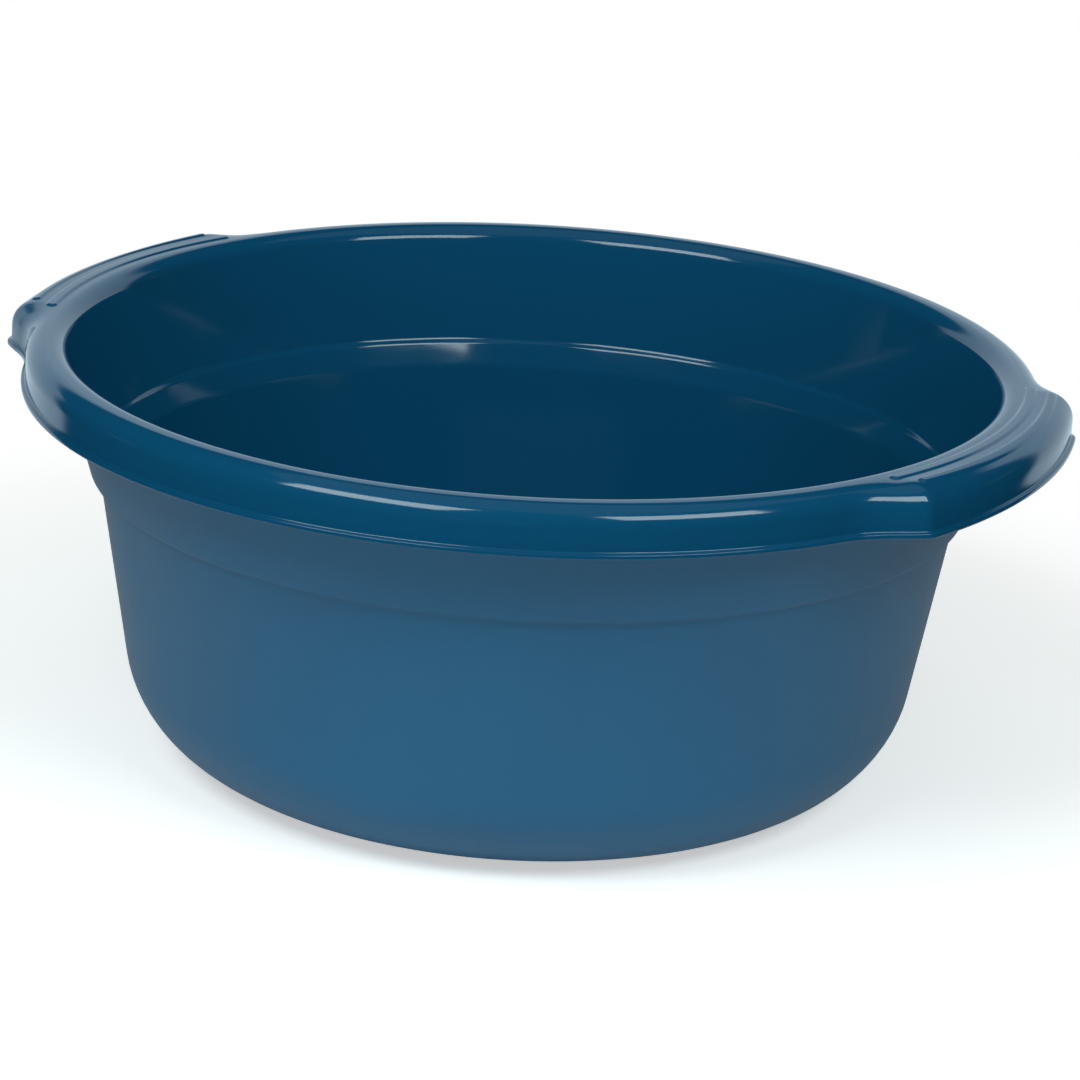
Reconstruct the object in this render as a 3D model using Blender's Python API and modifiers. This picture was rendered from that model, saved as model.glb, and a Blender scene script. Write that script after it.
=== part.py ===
"""Washing up bowl: a round moulded bowl with a rolled rim and two handles.

Metres, +Z up. The origin is the middle of the underside, the handles lie along X.
The bowl is one moulding. It is divided at its form lines into regions with a small gap between them.
"""

import math

import bmesh
import bpy
import numpy as np

# Driving dimensions
CREST_HEIGHT = 0.150  # underside to the top of the rolled rim
RIM_RADIUS = 0.1798  # to the outer edge of the bead
RIM_OVERHANG = 0.0129  # from the band's outer face, carried up to the crest, to the edge of the bead
HANDLE_REACH = 0.0095  # how far a handle reaches beyond the rim, in its middle
WALL = 0.0021  # thickness of the walls and of the rim
FLOOR = 0.0023  # thickness of the floor

# Lower wall and bottom corner
WALL_DRAFT = math.radians(9.2)
CORNER_RADIUS = 0.042  # outer radius between wall and underside

# Underside
BASE_ARC = math.radians(11.0)  # how far the base region goes up the rounded corner
RESTING_RING_WIDTH = 0.0188  # from the start of the rounded corner to the recess
RECESS_DEPTH = 0.0008
RECESS_SLOPE_WIDTH = 0.003
GATE_DIMPLE_RADIUS = 0.006
GATE_DIMPLE_DEPTH = 0.0005
GATE_MARK_RADIUS = 0.0015
GATE_MARK_HEIGHT = 0.0004

# Shoulder outside, ledge inside, and the band above them
SHOULDER_DROP = 0.0472  # crest to the inner corner of the shoulder, outside
SHOULDER_OUT = 0.0032
SHOULDER_RISE = 0.0026
SHOULDER_CORNER_RADIUS = 0.0012
SHOULDER_EDGE_RADIUS = 0.0024
LEDGE_DROP = 0.0440  # crest to the edge of the ledge, inside
LEDGE_RISE = 0.0024
LEDGE_EDGE_RADIUS = 0.0028
LEDGE_CORNER_RADIUS = 0.0030
BAND_DRAFT = math.radians(14.5)

# Heights where the regions part, as drops from the crest or heights above the ground
CORNER_SPLIT_HEIGHT = 0.036
SHOULDER_SPLIT_DROP = 0.0500
RIM_SPLIT_DROP = 0.0079
GAP = 0.0003  # between neighbouring regions

# Rolled rim
INNER_ROLL_RADIUS = 0.0080
CREST_WIDTH = 0.0012  # level strip on top, before the crown slopes down
CROWN_RADIUS = 0.012
CROWN_DROP = 0.0008  # crest to the line of the outer rounding
OUTER_ROLL_RADIUS = 0.0040
SKIRT_DROP = 0.0148  # crest to the upper face of the bead
SKIRT_FLARE = 0.0002
BEAD_WIDTH = 0.0015  # how far the bead stands out from the skirt
BEAD_FILLET = 0.0008

# Handles
HANDLE_HALF_ANGLE = math.radians(30.0)  # where a handle region meets the rim region
NECK_ANGLE = math.radians(24.8)  # where the end wall of a handle leaves the rim
SHOULDER_ANGLE = math.radians(19.2)  # where the end wall meets the outside of the handle
CORNER_FLARE = 0.0018  # how much further out a handle reaches at its corners than in the middle
NECK_FILLET = 0.040
HANDLE_CORNER_FILLET = 0.008
HANDLE_CROWN_DROP = 0.0003
HANDLE_ROLL_RADIUS = 0.0090
GRIP_ANGLE = math.radians(16.8)  # the part of a handle with one section all along

# Grip ribs on the handles
RIB_HEIGHT = 0.0009  # above the handle's upper face
RIB_ROOT = 0.0013  # how far a rib's body goes into the wall below that face
RIB_EDGE = 0.0006
INNER_RIB_INSET = 0.0095  # from the inner wall's line at the crest to the middle of the inner rib
INNER_RIB_WIDTH = 0.0048
INNER_RIB_HALF_ANGLE = math.radians(20.6)
OUTER_RIB_INSET = 0.0079  # from the edge of the bead to the middle of the outer rib
OUTER_RIB_WIDTH = 0.0044
OUTER_RIB_HALF_ANGLE = math.radians(19.4)

# Fineness of the round forms, in segments
TURN_STEPS = 48
CORNER_STEPS = 8
BASE_ARC_STEPS = 2
EDGE_STEPS = 3
FILLET_STEPS = 2
ROLL_STEPS = 5
CROWN_STEPS = 1
GRIP_STEPS = 5
END_STEPS = 12
RIB_STEPS = 12
RIB_END_STEPS = 5

MERGE = 0.00001

# Finish of the polypropylene: its colour, and the roughness of its two surfaces
BLUE = (0.004, 0.078, 0.175, 1.0)
GLOSSY = 0.22
SATIN = 0.45

# Places that follow from the sizes above
HANDLE_RADIUS = RIM_RADIUS + HANDLE_REACH
SKIRT_RADIUS = RIM_RADIUS - BEAD_WIDTH
HANDLE_SKIRT_RADIUS = HANDLE_RADIUS - BEAD_WIDTH
SHOULDER_HEIGHT = CREST_HEIGHT - SHOULDER_DROP
SHOULDER_SPLIT_HEIGHT = CREST_HEIGHT - SHOULDER_SPLIT_DROP
BAND_FOOT_HEIGHT = SHOULDER_HEIGHT + SHOULDER_RISE
LEDGE_HEIGHT = CREST_HEIGHT - LEDGE_DROP
RIM_SPLIT_HEIGHT = CREST_HEIGHT - RIM_SPLIT_DROP


def outer_band(z):
    """Radius of the upper band's outer face at height z."""
    return RIM_RADIUS - RIM_OVERHANG - (CREST_HEIGHT - z) * math.tan(BAND_DRAFT)


def inner_band(z):
    """Radius of the upper band's inner face at height z."""
    return outer_band(z) - WALL / math.cos(BAND_DRAFT)


def outer_wall(z):
    """Radius of the lower wall's outer face at height z."""
    return outer_band(BAND_FOOT_HEIGHT) - SHOULDER_OUT - (SHOULDER_HEIGHT - z) * math.tan(WALL_DRAFT)


def inner_wall(z):
    """Radius of the lower wall's inner face at height z."""
    return outer_wall(z) - WALL / math.cos(WALL_DRAFT)


CORNER_ARC = math.pi / 2 - WALL_DRAFT
INNER_CORNER_RADIUS = CORNER_RADIUS - WALL
CORNER_START = outer_wall(0) - CORNER_RADIUS * math.tan(CORNER_ARC / 2)
INNER_CORNER_START = inner_wall(FLOOR) - INNER_CORNER_RADIUS * math.tan(CORNER_ARC / 2)
INNER_RIB_RADIUS = inner_band(CREST_HEIGHT) + INNER_RIB_INSET
OUTER_RIB_RADIUS = HANDLE_RADIUS - OUTER_RIB_INSET


def rounded(corners):
    """Points of an outline given as corners (x, y), or (x, y, radius, segments) where it is rounded."""
    points = []
    for i, (x, y, *fillet) in enumerate(corners):
        here = np.array((x, y))
        if not fillet:
            points.append(here)
            continue
        radius, segments = fillet
        before = np.array(corners[i - 1][:2]) - here
        after = np.array(corners[i + 1][:2]) - here
        before /= np.linalg.norm(before)
        after /= np.linalg.norm(after)
        half = math.acos(max(-1.0, min(1.0, float(before @ after)))) / 2
        middle = (before + after) / np.linalg.norm(before + after)
        centre = here + middle * radius / math.sin(half)
        start = here + before * radius / math.tan(half) - centre
        end = here + after * radius / math.tan(half) - centre
        sweep = math.atan2(start[0] * end[1] - start[1] * end[0], float(start @ end))
        for step in range(segments + 1):
            angle = sweep * step / segments
            cos, sin = math.cos(angle), math.sin(angle)
            points.append(centre + (start[0] * cos - start[1] * sin, start[0] * sin + start[1] * cos))
    return points


def collection(name):
    made = bpy.data.collections.new(name)
    bpy.context.scene.collection.children.link(made)
    return made


def plastic(name, roughness):
    """Blue polypropylene."""
    material = bpy.data.materials.new(name)
    material.use_nodes = True
    shader = material.node_tree.nodes["Principled BSDF"]
    shader.inputs["Base Color"].default_value = BLUE
    shader.inputs["Roughness"].default_value = roughness
    shader.inputs["Metallic"].default_value = 0.0
    return material


def new_object(name, mesh, target, roughness):
    obj = bpy.data.objects.new(name, mesh)
    target.objects.link(obj)
    mesh.materials.append(plastic(name, roughness))
    return obj


def profile_mesh(name, points, closed):
    """Edges through (radius, height) points in the XZ plane."""
    mesh = bpy.data.meshes.new(name)
    edges = [(i, i + 1) for i in range(len(points) - 1)]
    if closed:
        edges.append((len(points) - 1, 0))
    mesh.from_pydata([(r, 0, z) for r, z in points], edges, [])
    return mesh


def turn(obj, angle, steps):
    """Turns an object's profile about Z."""
    screw = obj.modifiers.new("turned", "SCREW")
    screw.axis = "Z"
    screw.angle = angle
    screw.steps = steps
    screw.render_steps = steps
    screw.use_merge_vertices = angle == 2 * math.pi
    screw.merge_threshold = MERGE
    screw.use_smooth_shade = True


def give_wall(obj):
    """Gives an open skin the thickness of the moulding, on its inner side."""
    wall = obj.modifiers.new("wall", "SOLIDIFY")
    wall.thickness = WALL
    wall.offset = -1.0
    wall.use_even_offset = True


def turned_region(name, corners, target, roughness, closed=True):
    mesh = profile_mesh(name, rounded(corners), closed)
    turn(new_object(name, mesh, target, roughness), 2 * math.pi, TURN_STEPS)


def outer_corner(low, high, steps):
    """Points up the rounded corner's outside, from one angle of its arc to another."""
    turns = np.linspace(low, high, steps + 1)
    return [(CORNER_START + CORNER_RADIUS * math.sin(t), CORNER_RADIUS * (1 - math.cos(t))) for t in turns]


def inner_corner(low, high, steps):
    """The same up its inside."""
    turns = np.linspace(low, high, steps + 1)
    start, radius = INNER_CORNER_START, INNER_CORNER_RADIUS
    return [(start + radius * math.sin(t), FLOOR + radius * (1 - math.cos(t))) for t in turns]


def build_base(target):
    """Floor with a resting ring, a shallow recess and the moulding gate's mark underneath."""
    ring_inner = CORNER_START - RESTING_RING_WIDTH
    recess_edge = ring_inner - RECESS_SLOPE_WIDTH
    dimple = RECESS_DEPTH + GATE_DIMPLE_DEPTH
    mark = dimple - GATE_MARK_HEIGHT
    corners = [
        (0, FLOOR),
        *inner_corner(0, BASE_ARC, BASE_ARC_STEPS),
        *reversed(outer_corner(0, BASE_ARC, BASE_ARC_STEPS)),
        (ring_inner, 0),
        (recess_edge, RECESS_DEPTH),
        (GATE_DIMPLE_RADIUS, RECESS_DEPTH),
        (GATE_DIMPLE_RADIUS, dimple),
        (GATE_MARK_RADIUS, dimple),
        (GATE_MARK_RADIUS, mark),
        (0, mark),
    ]
    turned_region("base", corners, target, SATIN, closed=False)


def build_bottom_corner(target):
    top = CORNER_SPLIT_HEIGHT
    start = BASE_ARC + GAP / CORNER_RADIUS
    corners = [
        (outer_wall(top), top),
        *reversed(outer_corner(start, CORNER_ARC, CORNER_STEPS)),
        *inner_corner(start, CORNER_ARC, CORNER_STEPS),
        (inner_wall(top), top),
    ]
    turned_region("bottom_corner", corners, target, SATIN)


def build_side_wall(target):
    low = CORNER_SPLIT_HEIGHT + GAP
    high = SHOULDER_SPLIT_HEIGHT
    corners = [
        (outer_wall(high), high),
        (outer_wall(low), low),
        (inner_wall(low), low),
        (inner_wall(high), high),
    ]
    turned_region("side_wall", corners, target, SATIN)


def build_shoulder_band(target):
    low = SHOULDER_SPLIT_HEIGHT + GAP
    high = RIM_SPLIT_HEIGHT
    outer_high = high - WALL * math.sin(BAND_DRAFT)  # the top edge lies square to the wall
    ledge_top = LEDGE_HEIGHT + LEDGE_RISE
    corners = [
        (outer_band(outer_high), outer_high),
        (outer_band(BAND_FOOT_HEIGHT), BAND_FOOT_HEIGHT, SHOULDER_EDGE_RADIUS, EDGE_STEPS),
        (outer_wall(SHOULDER_HEIGHT), SHOULDER_HEIGHT, SHOULDER_CORNER_RADIUS, FILLET_STEPS),
        (outer_wall(low), low),
        (inner_wall(low), low),
        (inner_wall(LEDGE_HEIGHT), LEDGE_HEIGHT, LEDGE_EDGE_RADIUS, EDGE_STEPS),
        (inner_band(ledge_top), ledge_top, LEDGE_CORNER_RADIUS, EDGE_STEPS),
        (inner_band(high), high),
    ]
    turned_region("shoulder_band", corners, target, SATIN)


def rim_section(share):
    """The rim's skin from the wall over the crest to the bead; share is 0 on the rim and 1 on a handle."""
    skirt = SKIRT_RADIUS + share * (HANDLE_SKIRT_RADIUS - SKIRT_RADIUS)
    crown_drop = CROWN_DROP + share * (HANDLE_CROWN_DROP - CROWN_DROP)
    roll = OUTER_ROLL_RADIUS + share * (HANDLE_ROLL_RADIUS - OUTER_ROLL_RADIUS)
    low = RIM_SPLIT_HEIGHT + GAP / math.cos(BAND_DRAFT)
    inner_edge = inner_band(CREST_HEIGHT)
    tangent = INNER_ROLL_RADIUS * math.tan((math.pi / 2 - BAND_DRAFT) / 2)
    crown_start = inner_edge + tangent + CREST_WIDTH
    bead_height = CREST_HEIGHT - SKIRT_DROP
    return rounded(
        [
            (inner_band(low), low),
            (inner_edge, CREST_HEIGHT, INNER_ROLL_RADIUS, ROLL_STEPS),
            (crown_start, CREST_HEIGHT, CROWN_RADIUS, CROWN_STEPS),
            (skirt - SKIRT_FLARE, CREST_HEIGHT - crown_drop, roll, ROLL_STEPS),
            (skirt, bead_height, BEAD_FILLET, FILLET_STEPS),
            (skirt + BEAD_WIDTH, bead_height),
        ]
    )


def build_rim(name, middle, target):
    """A stretch of the plain rim between the handles; middle is the angle of its middle."""
    mesh = profile_mesh(name, rim_section(0), closed=False)
    obj = new_object(name, mesh, target, GLOSSY)
    half = math.pi / 2 - HANDLE_HALF_ANGLE - GAP / (2 * RIM_RADIUS)
    steps = round(TURN_STEPS * half / math.pi)
    turn(obj, 2 * half, steps)
    give_wall(obj)
    obj.rotation_euler.z = middle - half


def handle_share(angle):
    """How far the rim is widened at an angle from the handle's middle, from 0 to 1."""
    plan = rounded(
        [
            (0, HANDLE_REACH),
            (SHOULDER_ANGLE * RIM_RADIUS, HANDLE_REACH, HANDLE_CORNER_FILLET, END_STEPS),
            (NECK_ANGLE * RIM_RADIUS, 0, NECK_FILLET, END_STEPS),
            (HANDLE_HALF_ANGLE * RIM_RADIUS, 0),
        ]
    )
    along = [point[0] for point in plan]
    out = [point[1] for point in plan]
    flare = CORNER_FLARE / HANDLE_REACH * (angle / SHOULDER_ANGLE) ** 2
    return float(np.interp(abs(angle) * RIM_RADIUS, along, out)) / HANDLE_REACH * (1 + flare)


def handle_skin():
    """Loft through the widened rim's sections, from end to end of a handle."""
    grip = np.linspace(0, GRIP_ANGLE, GRIP_STEPS + 1)
    end = np.linspace(GRIP_ANGLE, HANDLE_HALF_ANGLE - GAP / (2 * RIM_RADIUS), END_STEPS + 1)[1:]
    side = np.concatenate((grip, end))
    angles = np.concatenate((-side[:0:-1], side))
    mesh = bpy.data.meshes.new("handle skin")
    work = bmesh.new()
    rows = []
    for angle in angles:
        cos, sin = math.cos(angle), math.sin(angle)
        section = rim_section(handle_share(angle))
        rows.append([work.verts.new((r * cos, r * sin, z)) for r, z in section])
    for row, following in zip(rows, rows[1:]):
        for i in range(len(row) - 1):
            work.faces.new((row[i], row[i + 1], following[i + 1], following[i]))
    work.to_mesh(mesh)
    work.free()
    return mesh


def deck_height(radius):
    """Height of a handle's upper face at a radius."""
    section = rim_section(1)
    return float(np.interp(radius, [r for r, z in section], [z for r, z in section]))


def rib_mesh(radius, width, half_angle):
    """A raised strip along an arc of the handle's upper face, with round ends and eased upper edges."""
    half = width / 2
    straight = half_angle - half / radius
    turns = [math.pi / 2 * step / RIB_END_STEPS for step in range(RIB_END_STEPS)]
    end = [(straight + half / radius * math.sin(t), half * math.cos(t)) for t in turns]
    arc = [(straight * (2 * step / RIB_STEPS - 1), half) for step in range(1, RIB_STEPS)]
    rows = [(-angle, w) for angle, w in reversed(end)] + arc + end
    mesh = bpy.data.meshes.new("grip rib")
    work = bmesh.new()

    def corner(angle, r):
        return work.verts.new((r * math.cos(angle), r * math.sin(angle), deck_height(r) - RIB_ROOT))

    pairs = [(corner(angle, radius - w), corner(angle, radius + w)) for angle, w in rows]
    faces = [work.faces.new((corner(-half_angle, radius), pairs[0][1], pairs[0][0]))]
    for pair, following in zip(pairs, pairs[1:]):
        faces.append(work.faces.new((pair[0], pair[1], following[1], following[0])))
    faces.append(work.faces.new((pairs[-1][0], pairs[-1][1], corner(half_angle, radius))))
    raised = bmesh.ops.extrude_face_region(work, geom=faces)["geom"]
    top = {item for item in raised if isinstance(item, bmesh.types.BMVert)}
    bmesh.ops.translate(work, verts=list(top), vec=(0, 0, RIB_ROOT + RIB_HEIGHT))
    bmesh.ops.recalc_face_normals(work, faces=work.faces)
    upper = [edge for edge in work.edges if top.issuperset(edge.verts) and edge.calc_face_angle() > math.pi / 4]
    bmesh.ops.bevel(work, geom=upper, offset=RIB_EDGE, segments=FILLET_STEPS, profile=0.5, affect="EDGES")
    work.to_mesh(mesh)
    work.free()
    return mesh


def build_handle(name, direction, target, cutters):
    """A widened stretch of rim with two grip ribs; direction is the angle of its middle."""
    obj = new_object(name, handle_skin(), target, GLOSSY)
    obj.rotation_euler.z = direction
    obj.data.shade_smooth()
    give_wall(obj)
    ribs = {
        "inner": (INNER_RIB_RADIUS, INNER_RIB_WIDTH, INNER_RIB_HALF_ANGLE),
        "outer": (OUTER_RIB_RADIUS, OUTER_RIB_WIDTH, OUTER_RIB_HALF_ANGLE),
    }
    for place, sizes in ribs.items():
        rib = bpy.data.objects.new(f"{name} {place} rib", rib_mesh(*sizes))
        cutters.objects.link(rib)
        rib.rotation_euler.z = direction
        rib.hide_render = True
        rib.display_type = "WIRE"
        union = obj.modifiers.new(f"{place} rib", "BOOLEAN")
        union.operation = "UNION"
        union.solver = "EXACT"
        union.object = rib


def main():
    for obj in list(bpy.data.objects):
        bpy.data.objects.remove(obj, do_unlink=True)
    target = collection("washing_up_bowl")
    cutters = collection("cutters")
    build_base(target)
    build_bottom_corner(target)
    build_side_wall(target)
    build_shoulder_band(target)
    build_rim("rim_front", -math.pi / 2, target)
    build_rim("rim_back", math.pi / 2, target)
    build_handle("handle_right", 0, target, cutters)
    build_handle("handle_left", math.pi, target, cutters)


main()
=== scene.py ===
import math

import bpy
import numpy as np
from mathutils import Matrix, Vector


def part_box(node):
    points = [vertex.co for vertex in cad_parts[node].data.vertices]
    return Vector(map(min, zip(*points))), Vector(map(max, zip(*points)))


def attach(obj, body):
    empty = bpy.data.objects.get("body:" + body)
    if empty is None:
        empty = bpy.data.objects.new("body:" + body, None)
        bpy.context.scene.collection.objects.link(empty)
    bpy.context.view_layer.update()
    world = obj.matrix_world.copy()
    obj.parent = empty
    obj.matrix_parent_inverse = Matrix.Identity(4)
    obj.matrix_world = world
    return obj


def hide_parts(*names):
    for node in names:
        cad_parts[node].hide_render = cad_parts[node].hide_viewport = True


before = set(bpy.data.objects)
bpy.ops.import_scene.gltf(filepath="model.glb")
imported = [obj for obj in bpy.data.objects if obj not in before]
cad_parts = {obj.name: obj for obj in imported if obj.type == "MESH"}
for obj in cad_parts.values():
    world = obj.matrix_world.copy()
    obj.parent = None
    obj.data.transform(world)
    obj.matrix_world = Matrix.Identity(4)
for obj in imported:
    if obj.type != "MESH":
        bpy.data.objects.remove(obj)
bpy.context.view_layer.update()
print("frame loaded:", len(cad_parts), "nodes")

# The bowl is one polypropylene moulding, so it is drawn as one outline and spun.
# Sizes are in metres. A drop is measured down from the crest of the rim.
bowl = {
    "crestHeight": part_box("rim_front")[1].z,
    "rimRadius": -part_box("rim_front")[0].y,
    "handleRadius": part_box("handle_right")[1].x,
    "handleTop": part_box("handle_right")[1].z,
    "wall": 0.0021,
    "floor": 0.0023,
    "rimOverhang": 0.0108,  # from the band's outer face, carried up to the crest, to the bead's edge
    "bandDraft": math.radians(16.4),
    "innerBandReach": 0.16473,  # radius of the band's inner face, carried up to the crest
    "innerBandDraft": math.radians(14.5),
    "wallDraft": math.radians(9.2),
    "cornerRadius": 0.042,
    "shoulderDrop": 0.0472,
    "shoulderOut": 0.00313,
    "shoulderRise": 0.00057,  # from the top of the wall to the foot of the band
    "shoulderCorner": 0.0024,
    "shoulderEdge": 0.0020,
    "ledgeDrop": 0.0422,
    "ledgeHeight": 0.0016,
    "ledgeSlope": math.radians(37),  # from upright
    "ledgeCorner": 0.0035,
    "ledgeEdge": 0.0035,
    "browDrop": 0.0520,  # below the ledge a brow leans in more than the wall, down to here
    "browEdge": 0.0090,
    "ringInnerRadius": 0.0810,  # the bowl rests on a flat ring round a shallow recess
    "ringEase": 0.0030,
    "recessDepth": 0.0008,
    "gateRadius": 0.0060,
    "gateDepth": 0.0005,  # of the dimple in the middle of the underside, where the plastic came in
    "gateMarkRadius": 0.0015,
    "gateMarkHeight": 0.0004,
}

# Rolled rim and handles: the first value of a pair is the plain rim's, the second the handle's
rim = {
    "innerRoll": 0.0066,  # rounding from the band's inner face over to the top
    "crownDrop": (0.0005, 0.0003),  # the top falls this much towards its outer edge
    "outerRoll": (0.0070, 0.0090),
    "skirtDrop": 0.0148,  # to the bead along the skirt's lower edge
    "skirtFlare": 0.0002,
    "beadWidth": 0.0015,
    "beadHeight": 0.0019,
    "beadEdge": 0.0005,
    "beadFillet": 0.0008,
    "handleAngle": math.radians(19.2),  # where the end wall of a handle meets its outside
    "neckAngle": math.radians(24.8),  # where the end wall leaves the rim
    "endAngle": math.radians(30.0),
    "handleCorner": 0.0080,
    "neckFillet": 0.0400,
    "cornerFlare": 0.0018,  # a handle reaches this much further out at its corners than in its middle
    "longerEnd": math.radians(1.35),  # the right handle's front end reaches this much further round
    "longerEndGrows": (math.radians(0), math.radians(18)),  # from the handle's middle
    "longerEndFades": (math.radians(32), math.radians(85)),
}

gripRibs = {
    "height": 0.0006,
    "edge": 0.0013,  # width of a rib's rounded side
    "inner": {"radius": 0.1742, "width": 0.0048, "halfAngle": math.radians(20.6)},
    "outer": {"radius": 0.1814, "width": 0.0044, "halfAngle": math.radians(18.7)},
}

# Columns of faces around the bowl, for a quarter turn from the middle of a handle:
# up to an angle, and how many
columns = [
    (math.radians(17.6), 18),
    (math.radians(21.4), 32),
    (math.radians(29.5), 26),
    (math.radians(90.0), 46),
]

# How the mesh is drawn
making = {
    "startSize": 0.001,  # of the plane that becomes the first point of the outline
    "mergeDistance": 0.000001,
    "sharpAngle": math.radians(35),  # edges that turn more than this stay crisp
    "planSteps": 90,  # in each fillet of a handle's plan
    "deckEdgeShare": 0.3,  # the rim's top has few points up to this share of its width, then many
    "deckEdgePoints": 5,
    "deckTopPoints": 65,
}


def outerBand(z):
    drop = bowl["crestHeight"] - z
    return bowl["rimRadius"] - bowl["rimOverhang"] - drop * math.tan(bowl["bandDraft"])


def innerBand(z):
    return bowl["innerBandReach"] - (bowl["crestHeight"] - z) * math.tan(bowl["innerBandDraft"])


shoulderHeight = bowl["crestHeight"] - bowl["shoulderDrop"]
bandFoot = shoulderHeight + bowl["shoulderRise"]
ledgeTop = bowl["crestHeight"] - bowl["ledgeDrop"]
ledgeFoot = ledgeTop - bowl["ledgeHeight"]
browFoot = bowl["crestHeight"] - bowl["browDrop"]


def outerWall(z):
    drop = shoulderHeight - z
    return outerBand(bandFoot) - bowl["shoulderOut"] - drop * math.tan(bowl["wallDraft"])


def innerWall(z):
    return outerWall(z) - bowl["wall"] / math.cos(bowl["wallDraft"])


# Groups of outline points, one for each corner, which is (radius, height) and, where it is rounded,
# the fillet's radius and number of steps
def filleted(corners):
    groups = []
    for i, (r, z, *fillet) in enumerate(corners):
        here = np.array((r, z))
        if not fillet:
            groups.append([here])
            continue
        radius, steps = fillet
        before = np.array(corners[i - 1][:2]) - here
        after = np.array(corners[(i + 1) % len(corners)][:2]) - here
        before /= np.linalg.norm(before)
        after /= np.linalg.norm(after)
        half = math.acos(float(before @ after)) / 2
        centre = here + (before + after) / np.linalg.norm(before + after) * radius / math.sin(half)
        start = here + before * radius / math.tan(half) - centre
        end = here + after * radius / math.tan(half) - centre
        sweep = math.atan2(start[0] * end[1] - start[1] * end[0], float(start @ end))
        arc = []
        for step in range(steps + 1):
            cos, sin = math.cos(sweep * step / steps), math.sin(sweep * step / steps)
            arc.append(centre + (start[0] * cos - start[1] * sin, start[0] * sin + start[1] * cos))
        groups.append(arc)
    return groups


# Points at shares of the length of a line of points
def respaced(points, shares):
    points = np.array(points)
    lengths = np.concatenate(([0], np.cumsum(np.linalg.norm(np.diff(points, axis=0), axis=1))))
    at = np.array(shares) * lengths[-1]
    return list(np.stack((np.interp(at, lengths, points[:, 0]), np.interp(at, lengths, points[:, 1])), -1))


def flat(groups):
    return [point for group in groups for point in group]


# Where the band's inner face would meet the rim's top, which runs from a point at its outer edge so
# that the roll between the two is highest at the crest
def crestCorner(edge):
    roll, draft = rim["innerRoll"], bowl["innerBandDraft"]
    middleHeight = bowl["crestHeight"] - roll
    foot = innerBand(middleHeight)
    middle = foot + roll / math.cos(draft)
    across, up = edge[0] - middle, edge[1] - middleHeight
    slope = math.atan2(across, up) - math.acos(roll / math.hypot(across, up))
    lean = math.cos(slope) + math.tan(draft) * math.sin(slope)
    rise = (roll - (foot - middle) * math.sin(slope)) / lean
    return foot + rise * math.tan(draft), middleHeight + rise


# From the middle of the underside up the outside, under and over the rim, and down the inside to the
# floor. At 0 it is the outline through the plain rim, at 1 the one through a handle.
def bowlOutline(which):
    recess, gate = bowl["recessDepth"], bowl["recessDepth"] + bowl["gateDepth"]
    mark = gate - bowl["gateMarkHeight"]
    wall, crest = bowl["wall"], bowl["crestHeight"]
    reach = (bowl["rimRadius"], bowl["handleRadius"])[which]
    skirt = reach - rim["beadWidth"]
    crownDrop, roll = rim["crownDrop"][which], rim["outerRoll"][which]
    edge = (skirt - rim["skirtFlare"], crest - crownDrop)
    beadTop = crest - rim["skirtDrop"]
    beadFoot = beadTop - rim["beadHeight"]
    ceiling = crest - wall
    ledgeIn = innerBand(ledgeTop) - bowl["ledgeHeight"] * math.tan(bowl["ledgeSlope"])
    outside = [
        (0, mark),
        (bowl["gateMarkRadius"], mark),
        (bowl["gateMarkRadius"], gate),
        (bowl["gateRadius"], gate),
        (bowl["gateRadius"], recess),
        (bowl["ringInnerRadius"] - bowl["ringEase"], recess, bowl["ringEase"], 3),
        (bowl["ringInnerRadius"], 0, bowl["ringEase"], 3),
        (outerWall(0), 0, bowl["cornerRadius"], 18),
        (outerWall(shoulderHeight), shoulderHeight, bowl["shoulderCorner"], 3),
        (outerBand(bandFoot), bandFoot, bowl["shoulderEdge"], 6),
        (outerBand(ceiling), ceiling, rim["innerRoll"] - wall, 6),
        (skirt - wall - rim["skirtFlare"], ceiling - crownDrop, roll - wall, 6),
        (skirt - wall, beadFoot, rim["beadEdge"], 3),
        (reach, beadFoot, rim["beadEdge"], 3),
        (reach, beadTop, rim["beadEdge"], 3),
        (skirt, beadTop, rim["beadFillet"], 4),
    ]
    inside = [
        (*crestCorner(edge), rim["innerRoll"], 13),
        (innerBand(ledgeTop), ledgeTop, bowl["ledgeCorner"], 6),
        (ledgeIn, ledgeFoot, bowl["ledgeEdge"], 6),
        (innerWall(browFoot), browFoot, bowl["browEdge"], 5),
        (innerWall(bowl["floor"]), bowl["floor"], bowl["cornerRadius"] - wall, 16),
        (0, bowl["floor"]),
    ]
    groups = filleted([*outside, (*edge, roll, 20), *inside])
    top = len(outside)
    deck = groups[top - 1][-1:] + groups[top] + groups[top + 1][:1]
    edgeShare = making["deckEdgeShare"]
    atEdge = np.linspace(0, edgeShare, making["deckEdgePoints"], endpoint=False)
    shares = np.concatenate((atEdge, np.linspace(edgeShare, 1, making["deckTopPoints"])))[1:-1]
    return flat(groups[:top]) + respaced(deck, shares) + flat(groups[top + 1 :])


# Object mode with nothing selected, because the frame's nodes come in selected
def startFresh():
    if bpy.context.object and bpy.context.object.mode != "OBJECT":
        bpy.ops.object.mode_set(mode="OBJECT")
    bpy.ops.object.select_all(action="DESELECT")


# A plane merged to its middle, then drawn out point by point in the XZ plane
def drawnOutline(name, points):
    startFresh()
    bpy.ops.mesh.primitive_plane_add(size=making["startSize"], location=(0, 0, 0))
    piece = bpy.context.object
    piece.name = name
    piece.data.name = name
    bpy.ops.object.mode_set(mode="EDIT")
    bpy.ops.mesh.merge(type="CENTER")
    bpy.ops.transform.translate(value=(points[0][0], 0, points[0][1]))
    for here, after in zip(points, points[1:]):
        step = after - here
        bpy.ops.mesh.extrude_region_move(TRANSFORM_OT_translate={"value": (step[0], 0, step[1])})
    bpy.ops.object.mode_set(mode="OBJECT")
    return piece


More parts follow.
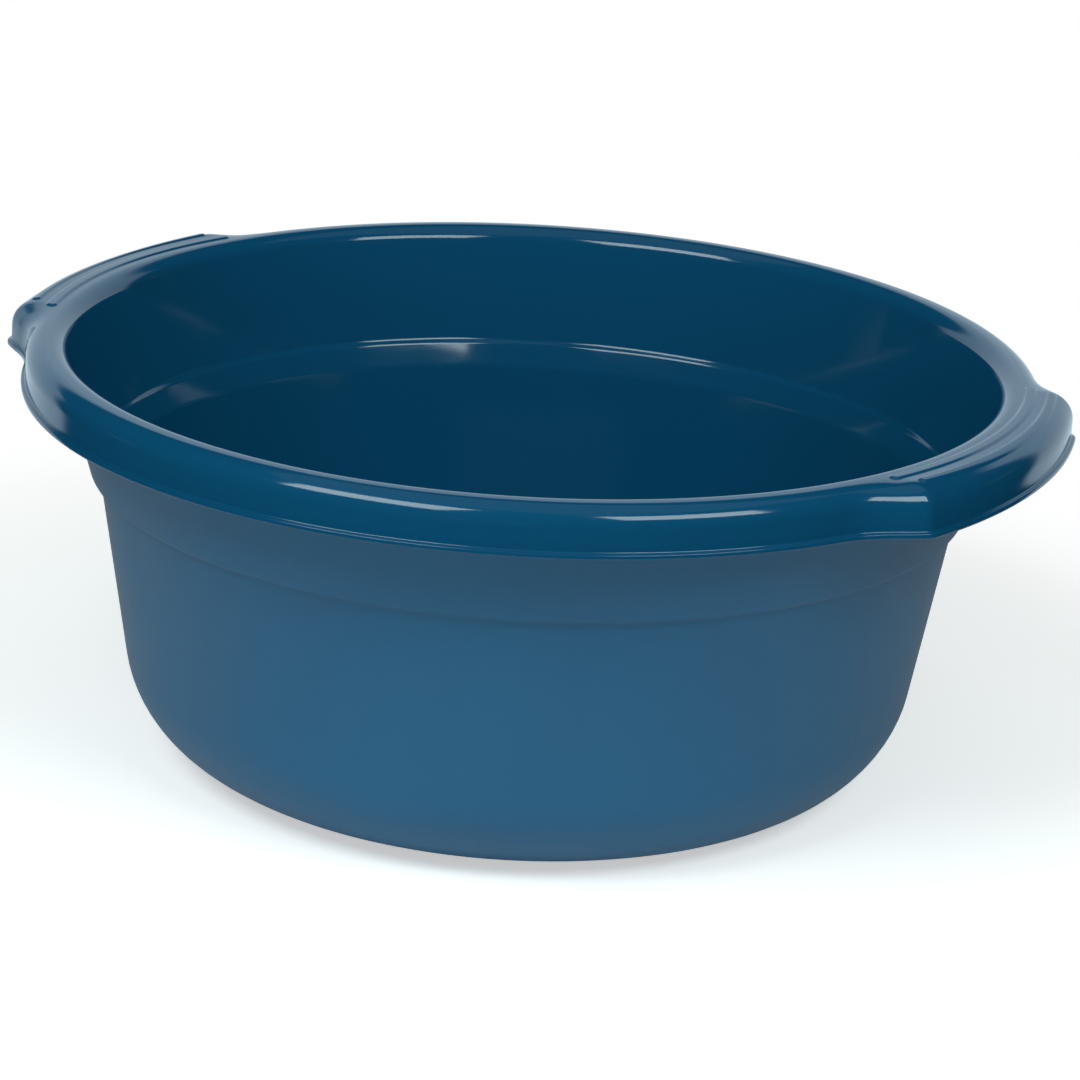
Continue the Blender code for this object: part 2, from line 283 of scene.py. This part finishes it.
# Each point keeps its place in the outline through the spin, as an attribute
def numbered(piece):
    station = piece.data.attributes.new("station", "FLOAT", "POINT")
    station.data.foreach_set("value", np.arange(len(piece.data.vertices), dtype=np.float32))


def stations(piece):
    station = np.empty(len(piece.data.vertices), np.float32)
    piece.data.attributes["station"].data.foreach_get("value", station)
    return np.round(station).astype(int)


def spun(piece):
    steps = 4 * sum(count for angle, count in columns)
    bpy.ops.object.mode_set(mode="EDIT")
    bpy.ops.mesh.select_all(action="SELECT")
    bpy.ops.mesh.spin(
        steps=steps, angle=2 * math.pi, center=(0, 0, 0), axis=(0, 0, 1), use_auto_merge=True
    )
    bpy.ops.mesh.select_all(action="SELECT")
    bpy.ops.mesh.remove_doubles(threshold=making["mergeDistance"])
    bpy.ops.mesh.normals_make_consistent(inside=False)
    bpy.ops.object.mode_set(mode="OBJECT")


# Radius, angle and height of each point
def polar(piece):
    places = np.empty(len(piece.data.vertices) * 3)
    piece.data.vertices.foreach_get("co", places)
    places = places.reshape(-1, 3)
    return np.hypot(places[:, 0], places[:, 1]), np.arctan2(places[:, 1], places[:, 0]), places[:, 2]


def placePolar(piece, radius, angle, z):
    places = np.stack((radius * np.cos(angle), radius * np.sin(angle), z), -1)
    piece.data.vertices.foreach_set("co", places.ravel())
    piece.data.update()


# The spin's even columns are drawn together at the ends of the handles, where the form is fine
def respaceColumns(piece):
    radius, angle, z = polar(piece)
    evenStep = math.pi / 2 / sum(count for end, count in columns)
    even = np.concatenate(([0], np.cumsum([count for end, count in columns]) * evenStep))
    drawn = np.concatenate(([0], [end for end, count in columns]))
    half = np.round(angle / math.pi) * math.pi  # direction of the nearer handle
    folded = angle - half
    placePolar(piece, radius, half + np.sign(folded) * np.interp(np.abs(folded), even, drawn), z)


# Angle from the middle of the nearer handle, without its sign
def fromHandle(angle):
    return np.abs(angle - np.round(angle / math.pi) * math.pi)


# How far the rim has become a handle, from 0 to 1 and a little over at the handle's corners
def handleShare(angle):
    reach, radius = bowl["handleRadius"] - bowl["rimRadius"], bowl["rimRadius"]
    corners = [
        (0, reach),
        (rim["handleAngle"] * radius, reach, rim["handleCorner"], making["planSteps"]),
        (rim["neckAngle"] * radius, 0, rim["neckFillet"], making["planSteps"]),
        (rim["endAngle"] * radius, 0),
    ]
    plan = np.array(flat(filleted(corners)))
    out = np.interp(angle * radius, plan[:, 0], plan[:, 1])
    return out / reach * (1 + rim["cornerFlare"] / reach * (angle / rim["handleAngle"]) ** 2)


# Slides the rim's outline towards the handle's by the share at each angle
def widenHandles(piece):
    radius, angle, z = polar(piece)
    station = stations(piece)
    plain, wide = np.array(bowlOutline(0)), np.array(bowlOutline(1))
    share = handleShare(fromHandle(angle))
    radius = plain[station, 0] + share * (wide - plain)[station, 0]
    z = plain[station, 1] + share * (wide - plain)[station, 1]
    placePolar(piece, radius, angle, z)


# From 0 at the low value to 1 at the high one, level at both ends
def smoothStep(value, low, high):
    share = np.clip((value - low) / (high - low), 0, 1)
    return share * share * (3 - 2 * share)


# Height of a rib at a radius and an angle from the handle's middle
def ribHeight(radius, angle, rib):
    half = rib["width"] / 2
    straight = rib["halfAngle"] - half / rib["radius"]
    beyond = np.maximum(angle - straight, 0) * rib["radius"]
    inside = half - np.hypot(beyond, radius - rib["radius"])
    return gripRibs["height"] * smoothStep(inside, 0, gripRibs["edge"])


# Lifts the points whose stations lie between the two
def raiseRibs(piece, topFrom, topTo):
    radius, angle, z = polar(piece)
    away = fromHandle(angle)
    height = ribHeight(radius, away, gripRibs["inner"]) + ribHeight(radius, away, gripRibs["outer"])
    station = stations(piece)
    onTop = (station > topFrom) & (station < topTo)
    placePolar(piece, radius, angle, np.where(onTop, np.minimum(z + height, bowl["handleTop"]), z))


# Draws the right handle's front end further round the bowl
def lengthenEnd(piece):
    radius, angle, z = polar(piece)
    shift = smoothStep(-angle, *rim["longerEndGrows"]) * (1 - smoothStep(-angle, *rim["longerEndFades"]))
    placePolar(piece, radius, angle - rim["longerEnd"] * shift, z)


def finished(piece):
    startFresh()
    piece.select_set(True)
    bpy.context.view_layer.objects.active = piece
    bpy.ops.object.transform_apply(location=True, rotation=True, scale=True)
    bpy.ops.object.shade_smooth_by_angle(angle=making["sharpAngle"])
    piece.data.attributes.remove(piece.data.attributes["station"])


# Colours as written in hex, in sRGB
def linear(hexColour):
    channels = [int(hexColour[i : i + 2], 16) / 255 for i in (1, 3, 5)]
    return [c / 12.92 if c <= 0.04045 else ((c + 0.055) / 1.055) ** 2.4 for c in channels] + [1.0]


# Adds a node with its settings, then its links; an input goes by its name or its number.
# A Mix node's two colours are its inputs 6 and 7, and its mixed colour is output 2.
def addNode(tree, kind, settings=None, links=None):
    node = tree.nodes.new(kind)
    for name, value in (settings or {}).items():
        if isinstance(name, int) or name in node.inputs:
            node.inputs[name].default_value = value
        else:
            setattr(node, name, value)
    for name, source in (links or {}).items():
        tree.links.new(source, node.inputs[name])
    return node


def emptyMaterial(name):
    material = bpy.data.materials.new(name)
    material.use_nodes = True
    material.node_tree.nodes.clear()
    return material, material.node_tree


polypropylene = {
    "colour": "#0B4B6E",
    "colourOnSatin": "#0D5880",  # the same plastic looks paler where its skin scatters light
    "flowPaler": "#115C84",  # the palest of its flow
    "ior": 1.49,
    "glossyRoughness": (0.075, 0.105),
    "satinRoughness": (0.47, 0.54),
    "satinSheen": 0.05,
    "waves": {"size": 0.030, "detail": 1.0, "stretch": (1, 1, 1)},
    "waveDepth": 0.00003,
    "scuffs": {"size": 0.012, "detail": 4.0, "stretch": (1, 1, 4)},
    "grain": {"size": 0.0009, "detail": 2.0, "stretch": (1, 1, 1)},
    "grainDepth": 0.00003,
    "flow": {"size": 0.070, "detail": 3.0, "stretch": (1, 1, 0.5)},
    "noiseMiddle": {"From Min": 0.35, "From Max": 0.65},  # most of a noise lies between these
}


# A soft uneven pattern in the object's own metres, its features about as large as its size says
def unevenness(tree, pattern):
    place = addNode(tree, "ShaderNodeTexCoord")
    mapping = addNode(
        tree, "ShaderNodeMapping", {"Scale": pattern["stretch"]}, {"Vector": place.outputs["Object"]}
    )
    settings = {"Scale": 1 / pattern["size"], "Detail": pattern["detail"], "Roughness": 0.5}
    noise = addNode(tree, "ShaderNodeTexNoise", settings, {"Vector": mapping.outputs["Vector"]})
    return noise.outputs["Fac"]


def glossyPolypropylene():
    # Injection moulded polypropylene against polished steel: deep even colour under a clear soft gloss,
    # whose reflections swim a little over the faint waves that cooling leaves and dull where it is scuffed
    material, tree = emptyMaterial("glossy_moulded_polypropylene")
    waves = unevenness(tree, polypropylene["waves"])
    bump = addNode(
        tree, "ShaderNodeBump", {"Strength": 1.0, "Distance": polypropylene["waveDepth"]}, {"Height": waves}
    )
    scuffs = unevenness(tree, polypropylene["scuffs"])
    low, high = polypropylene["glossyRoughness"]
    roughness = addNode(
        tree,
        "ShaderNodeMapRange",
        {**polypropylene["noiseMiddle"], "To Min": low, "To Max": high},
        {"Value": scuffs},
    )
    shader = addNode(
        tree,
        "ShaderNodeBsdfPrincipled",
        {"Base Color": linear(polypropylene["colour"]), "IOR": polypropylene["ior"]},
        {"Roughness": roughness.outputs["Result"], "Normal": bump.outputs["Normal"]},
    )
    addNode(tree, "ShaderNodeOutputMaterial", links={"Surface": shader.outputs["BSDF"]})
    return material


def satinPolypropylene():
    # The same plastic against spark eroded steel: a fine matte skin, paler than the gloss and palest where
    # light grazes it, with the broad faint clouds of the plastic's flow.
    # The steel's grain is about 0.1 mm, too fine to show, so it is drawn nine times coarser.
    material, tree = emptyMaterial("satin_moulded_polypropylene")
    grain = unevenness(tree, polypropylene["grain"])
    bump = addNode(
        tree, "ShaderNodeBump", {"Strength": 1.0, "Distance": polypropylene["grainDepth"]}, {"Height": grain}
    )
    flow = unevenness(tree, polypropylene["flow"])
    low, high = polypropylene["satinRoughness"]
    roughness = addNode(
        tree,
        "ShaderNodeMapRange",
        {**polypropylene["noiseMiddle"], "To Min": low, "To Max": high},
        {"Value": flow},
    )
    clouds = addNode(tree, "ShaderNodeMapRange", polypropylene["noiseMiddle"], {"Value": flow})
    colours = {6: linear(polypropylene["colourOnSatin"]), 7: linear(polypropylene["flowPaler"])}
    colour = addNode(
        tree, "ShaderNodeMix", {"data_type": "RGBA", **colours}, {0: clouds.outputs["Result"]}
    )
    shader = addNode(
        tree,
        "ShaderNodeBsdfPrincipled",
        {"IOR": polypropylene["ior"], "Sheen Weight": polypropylene["satinSheen"]},
        {
            "Base Color": colour.outputs[2],
            "Roughness": roughness.outputs["Result"],
            "Normal": bump.outputs["Normal"],
        },
    )
    addNode(tree, "ShaderNodeOutputMaterial", links={"Surface": shader.outputs["BSDF"]})
    return material


glossy, satin = glossyPolypropylene(), satinPolypropylene()


# Satin all over, and glossy on the faces whose stations lie between the two
def paint(piece, glossyFrom, glossyTo):
    piece.data.materials.append(satin)
    piece.data.materials.append(glossy)
    station = stations(piece)
    for face in piece.data.polygons:
        places = [station[i] for i in face.vertices]
        face.material_index = int(min(places) >= glossyFrom and max(places) <= glossyTo)


# Number of the outline point nearest to a place
def stationNear(points, place):
    return int(np.argmin([np.linalg.norm(point - np.array(place)) for point in points]))


plainOutline = bowlOutline(0)
beadFoot = bowl["crestHeight"] - rim["skirtDrop"] - rim["beadHeight"]
skirtFoot = stationNear(plainOutline, (bowl["rimRadius"] - rim["beadWidth"] - bowl["wall"], beadFoot))
rollFoot = bowl["crestHeight"] - rim["innerRoll"]
innerBandTop = stationNear(plainOutline, (innerBand(rollFoot), rollFoot))

bowlMoulding = drawnOutline("bowlMoulding", plainOutline)
print("outline drawn:", len(plainOutline), "points")
numbered(bowlMoulding)
spun(bowlMoulding)
respaceColumns(bowlMoulding)
print("outline spun:", len(bowlMoulding.data.polygons), "faces")
widenHandles(bowlMoulding)
raiseRibs(bowlMoulding, skirtFoot, innerBandTop)
lengthenEnd(bowlMoulding)
paint(bowlMoulding, skirtFoot, len(plainOutline))
finished(bowlMoulding)
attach(bowlMoulding, "root")
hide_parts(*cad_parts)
print("bowl moulding finished, with its handles and grip ribs")

# Camera at the photograph's place, a long lens from a little above.
# It is aimed at a height on the bowl's axis, and then moved aside without turning.
photoView = {
    "azimuth": math.radians(26.1),
    "elevation": math.radians(18.941),
    "roll": math.radians(3.192),
    "distance": 1.425,
    "targetHeight": 0.0841,
    "asideRight": 0.00027,
    "asideUp": -0.00546,
    "lens": 132.73,
    "sensorWidth": 36,
    "shiftRight": 0.01352,
    "shiftUp": -0.0016,
}


def placeCamera():
    azimuth, elevation = photoView["azimuth"], photoView["elevation"]
    level = math.cos(elevation)
    back = Vector((math.sin(azimuth) * level, -math.cos(azimuth) * level, math.sin(elevation)))
    right = Vector((0, 0, 1)).cross(back).normalized()
    up = back.cross(right)
    target = Vector((0, 0, photoView["targetHeight"]))
    aside = right * photoView["asideRight"] + up * photoView["asideUp"]
    place = target + aside + back * photoView["distance"]
    cos, sin = math.cos(photoView["roll"]), math.sin(photoView["roll"])
    right, up = right * cos + up * sin, up * cos - right * sin
    bpy.ops.object.camera_add()
    camera = bpy.context.object
    camera.name = "photoCamera"
    turned = Matrix((right, up, back)).transposed().to_4x4()
    camera.matrix_world = Matrix.Translation(place) @ turned
    camera.data.lens = photoView["lens"]
    camera.data.sensor_width = photoView["sensorWidth"]
    camera.data.shift_x = photoView["shiftRight"]
    camera.data.shift_y = photoView["shiftUp"]
    bpy.context.scene.camera = camera


# Studio: a pale table, a backdrop behind the bowl, and two softboxes to the left and right of the camera.
# Angles are bearings from +Y towards +X and heights above the horizon, in degrees, seen from the bowl.
studio = {
    "tableRadius": 0.42,
    "tableSides": 128,
    "tableGap": 0.0003,  # between the table and the bowl's resting ring
    "tableFade": 0.24,  # radius at which the table starts to run into the white background
    "tableColour": "#F2F2F0",
    "tableGlow": 0.50,  # makes the table white to the camera, without light on the bowl
    "ambient": 0.16,  # even light from all round
    "lampColour": "#F0FFFF",
    "aimHeight": 0.1,  # on the bowl's axis, where the lamps point
    "roomRadius": 4.0,
    "roomColour": "#0E1012",
    "backdropColour": "#DAF1FF",
    "backdropBearing": -12,
    "backdropLeft": -69,  # from the backdrop's own bearing
    "backdropRight": 38,
    "backdropHeight": 37,
    "edgeSoftness": 3,
    "cards": [(-109, 7.3, 0.22), (40, 9, 0.12)],  # two pale cards: bearing, height, strength
    "cardWidth": 5,  # to each side of its bearing
    "cardTall": 1.5,  # up and down from its height
    "cardSoftness": 1,
}

# Distance and sizes in metres, power in watts; the low fill doesn't show in reflections
softboxes = {
    "softboxRight": {"bearing": 116, "height": 40, "distance": 1.6, "size": (0.82, 0.48), "power": 8.6},
    "softboxLeft": {"bearing": -168, "height": 45, "distance": 1.6, "size": (0.90, 0.54), "power": 11},
    "overhead": {"bearing": 0, "height": 90, "distance": 1.8, "size": (2.0, 2.0), "power": 3},
    "lowFill": {"bearing": 172, "height": 3, "distance": 1.6, "size": (1.20, 0.26), "power": 4.6},
}
withoutReflection = ["lowFill"]


def direction(bearing, height):
    bearing, height = math.radians(bearing), math.radians(height)
    level = math.cos(height)
    return Vector((math.sin(bearing) * level, math.cos(bearing) * level, math.sin(height)))


# The world is white to the camera and in reflections, and lights the bowl only faintly
def lightWorld():
    world = bpy.data.worlds.new("studioLight")
    world.use_nodes = True
    tree = world.node_tree
    tree.nodes.clear()
    path = addNode(tree, "ShaderNodeLightPath")
    seen = path.outputs["Is Camera Ray"]
    for ray in ("Is Glossy Ray", "Is Transmission Ray"):
        either = addNode(tree, "ShaderNodeMath", {"operation": "MAXIMUM"}, {0: seen, 1: path.outputs[ray]})
        seen = either.outputs[0]
    white = addNode(tree, "ShaderNodeBackground", {"Color": (1, 1, 1, 1), "Strength": 1.0})
    ambient = addNode(tree, "ShaderNodeBackground", {"Color": (1, 1, 1, 1), "Strength": studio["ambient"]})
    mix = addNode(
        tree, "ShaderNodeMixShader", {}, {0: seen, 1: ambient.outputs[0], 2: white.outputs[0]}
    )
    addNode(tree, "ShaderNodeOutputWorld", links={"Surface": mix.outputs[0]})
    bpy.context.scene.world = world


# The table's white is its own glow to the camera, and it keeps the bowl's shadow
def layTable():
    startFresh()
    bpy.ops.mesh.primitive_circle_add(
        vertices=studio["tableSides"],
        radius=studio["tableRadius"],
        fill_type="NGON",
        location=(0, 0, -studio["tableGap"]),
    )
    table = bpy.context.object
    table.name = "table"
    material, tree = emptyMaterial("pale_table")
    place = addNode(tree, "ShaderNodeTexCoord")
    distance = addNode(tree, "ShaderNodeVectorMath", {"operation": "LENGTH"}, {0: place.outputs["Object"]})
    fade = addNode(
        tree,
        "ShaderNodeMapRange",
        {
            "interpolation_type": "SMOOTHSTEP",
            "From Min": studio["tableFade"],
            "From Max": studio["tableRadius"],
        },
        {"Value": distance.outputs["Value"]},
    )
    camera = addNode(tree, "ShaderNodeLightPath").outputs["Is Camera Ray"]
    faded = addNode(
        tree, "ShaderNodeMath", {"operation": "MULTIPLY"}, {0: fade.outputs["Result"], 1: camera}
    )
    glow = addNode(tree, "ShaderNodeMath", {"operation": "MULTIPLY", 1: studio["tableGlow"]}, {0: camera})
    matt = addNode(tree, "ShaderNodeBsdfDiffuse", {"Color": linear(studio["tableColour"])})
    glowing = addNode(tree, "ShaderNodeEmission", {"Color": (1, 1, 1, 1)}, {"Strength": glow.outputs[0]})
    lit = addNode(tree, "ShaderNodeAddShader", {}, {0: matt.outputs[0], 1: glowing.outputs[0]})
    white = addNode(tree, "ShaderNodeEmission", {"Color": (1, 1, 1, 1), "Strength": 1.0})
    above = addNode(
        tree, "ShaderNodeMixShader", {}, {0: faded.outputs[0], 1: lit.outputs[0], 2: white.outputs[0]}
    )
    # clear from below, so that the underside of the bowl can be looked at
    below = addNode(tree, "ShaderNodeBsdfTransparent")
    under = addNode(tree, "ShaderNodeNewGeometry").outputs["Backfacing"]
    both = addNode(tree, "ShaderNodeMixShader", {}, {0: under, 1: above.outputs[0], 2: below.outputs[0]})
    addNode(tree, "ShaderNodeOutputMaterial", links={"Surface": both.outputs[0]})
    table.data.materials.append(material)


# 1 where an angle in radians lies between two in degrees, 0 elsewhere, with soft edges
def between(tree, angle, low, high, soft):
    sides = []
    for start, end in ((low - soft, low + soft), (high + soft, high - soft)):
        ends = {"From Min": math.radians(start), "From Max": math.radians(end)}
        side = addNode(
            tree, "ShaderNodeMapRange", {"interpolation_type": "SMOOTHSTEP", **ends}, {"Value": angle}
        )
        sides.append(side.outputs["Result"])
    both = addNode(tree, "ShaderNodeMath", {"operation": "MULTIPLY"}, {0: sides[0], 1: sides[1]})
    return both.outputs[0]


# Bearing and height in radians of a place on the room's wall, as seen towards a bearing.
# The height is that of a flat panel standing there, so its upper edge is straight.
def seenTowards(tree, bearing):
    place = addNode(tree, "ShaderNodeTexCoord").outputs["Object"]
    ahead = direction(bearing, 0)
    aside = ahead.cross(Vector((0, 0, 1)))
    shares = []
    for way in (ahead, aside):
        share = addNode(tree, "ShaderNodeVectorMath", {"operation": "DOT_PRODUCT", 1: way}, {0: place})
        shares.append(share.outputs["Value"])
    along, across = shares
    up = addNode(tree, "ShaderNodeSeparateXYZ", {}, {0: place}).outputs["Z"]
    turn = addNode(tree, "ShaderNodeMath", {"operation": "ARCTAN2"}, {0: across, 1: along})
    rise = addNode(tree, "ShaderNodeMath", {"operation": "ARCTAN2"}, {0: up, 1: along})
    return turn.outputs[0], rise.outputs[0]


# The studio's dark walls, its backdrop and two cards show only in reflections
def closeRoom():
    startFresh()
    bpy.ops.mesh.primitive_uv_sphere_add(
        segments=32, ring_count=16, radius=studio["roomRadius"], location=(0, 0, 0)
    )
    room = bpy.context.object
    room.name = "room"
    material, tree = emptyMaterial("dark_room_with_backdrop")
    turn, rise = seenTowards(tree, studio["backdropBearing"])
    wide = between(tree, turn, studio["backdropLeft"], studio["backdropRight"], studio["edgeSoftness"])
    tall = between(tree, rise, -90, studio["backdropHeight"], studio["edgeSoftness"])
    lit = addNode(tree, "ShaderNodeMath", {"operation": "MULTIPLY"}, {0: wide, 1: tall}).outputs[0]
    width, half, soft = studio["cardWidth"], studio["cardTall"], studio["cardSoftness"]
    for bearing, height, strength in studio["cards"]:
        turn, rise = seenTowards(tree, bearing)
        wide = between(tree, turn, -width, width, soft)
        tall = between(tree, rise, height - half, height + half, soft)
        card = addNode(tree, "ShaderNodeMath", {"operation": "MULTIPLY"}, {0: wide, 1: tall}).outputs[0]
        added = {"operation": "MULTIPLY_ADD", 1: strength}
        lit = addNode(tree, "ShaderNodeMath", added, {0: card, 2: lit}).outputs[0]
    colours = {6: linear(studio["roomColour"]), 7: linear(studio["backdropColour"])}
    colour = addNode(tree, "ShaderNodeMix", {"data_type": "RGBA", **colours}, {0: lit})
    glow = addNode(tree, "ShaderNodeEmission", {"Strength": 1.0}, {"Color": colour.outputs[2]})
    addNode(tree, "ShaderNodeOutputMaterial", links={"Surface": glow.outputs[0]})
    room.data.materials.append(material)
    room.visible_camera = False
    room.visible_diffuse = False
    room.visible_shadow = False
    room.visible_transmission = False


def hangSoftboxes():
    for name, box in softboxes.items():
        data = bpy.data.lights.new(name, "AREA")
        data.shape = "RECTANGLE"
        data.size, data.size_y = box["size"]
        data.energy = box["power"]
        data.color = linear(studio["lampColour"])[:3]
        lamp = bpy.data.objects.new(name, data)
        bpy.context.scene.collection.objects.link(lamp)
        away = direction(box["bearing"], box["height"])
        lamp.location = away * box["distance"] + Vector((0, 0, studio["aimHeight"]))
        lamp.rotation_euler = away.to_track_quat("Z", "Y").to_euler()
        lamp.visible_glossy = name not in withoutReflection


placeCamera()
lightWorld()
layTable()
closeRoom()
hangSoftboxes()
bpy.context.scene.view_settings.view_transform = "Standard"
print("studio set")
